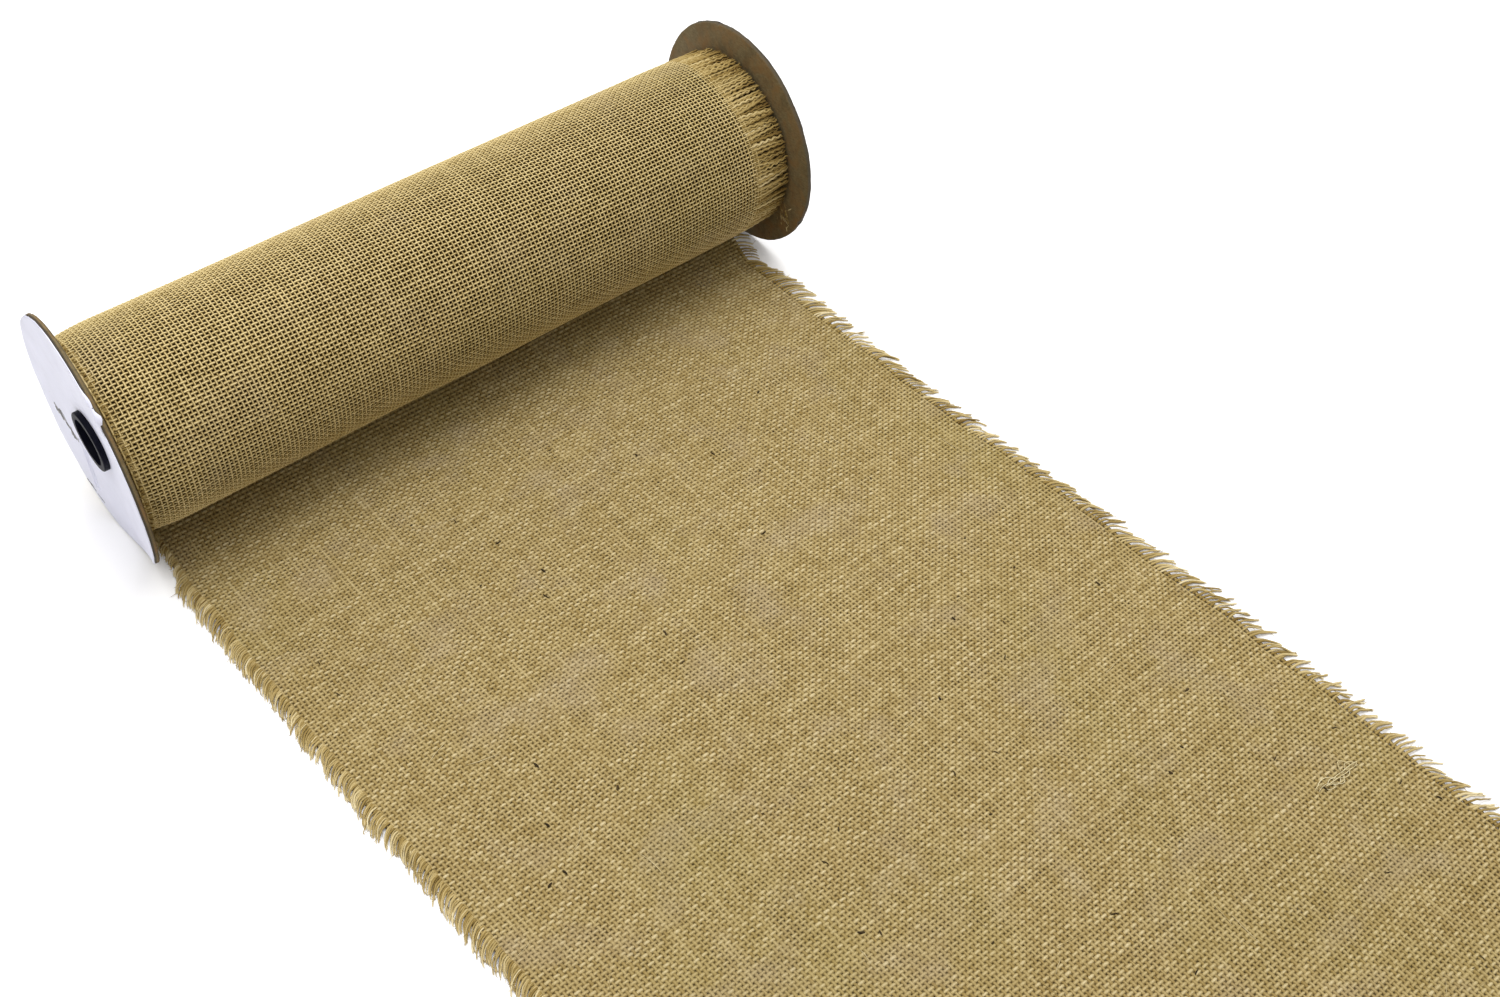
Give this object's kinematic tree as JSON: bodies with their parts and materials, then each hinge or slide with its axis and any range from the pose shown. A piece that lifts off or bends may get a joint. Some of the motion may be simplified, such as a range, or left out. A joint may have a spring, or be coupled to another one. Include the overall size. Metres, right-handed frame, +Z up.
{
  "type": "ribbon spool",
  "caption": "Wide burlap ribbon with frayed edges, wound on a flanged cardboard spool that turns, its free length lying flat in front.",
  "frame": {"origin": "middle of the spool's axis, half way between the two hubs", "axes": "+X along the spool's axis, +Y away from the free length, +Z up; the table is 50.8 mm below the origin"},
  "size_m": [0.3099, 0.5308, 0.1016],
  "materials": {
    "chipboard": "raw grey-brown board, slightly fuzzy edge",
    "face_paper": "white, smooth, creased and torn",
    "kraft_tube": "spiral-wound kraft, matte",
    "hub_plastic": "black, moulded, glossy",
    "tape": "clear tape",
    "label": "torn remains of grey paper",
    "burlap": "natural jute plain weave, 15 threads per inch",
    "fringe": "loose jute yarn ends"
  },
  "bodies": {
    "ribbon_free_length": {"ribbon_tail": "burlap", "tail_fringe_left": "fringe", "tail_fringe_right": "fringe"},
    "spool": {"left_flange": "chipboard", "right_flange": "chipboard", "left_face_paper": "face_paper", "right_face_paper": "face_paper", "torn_label": "label", "core_tube": "kraft_tube", "left_hub": "hub_plastic", "right_hub": "hub_plastic", "starter_tape": "tape", "wound_ribbon": "burlap", "roll_fringe_left": "fringe", "roll_fringe_right": "fringe"}
  },
  "joints": [
    {"name": "spool_spin", "type": "hinge", "parent": "ribbon_free_length", "child": "spool", "pos_m": [0, 0, 0], "axis": [1, 0, 0], "continuous": true}
  ]
}
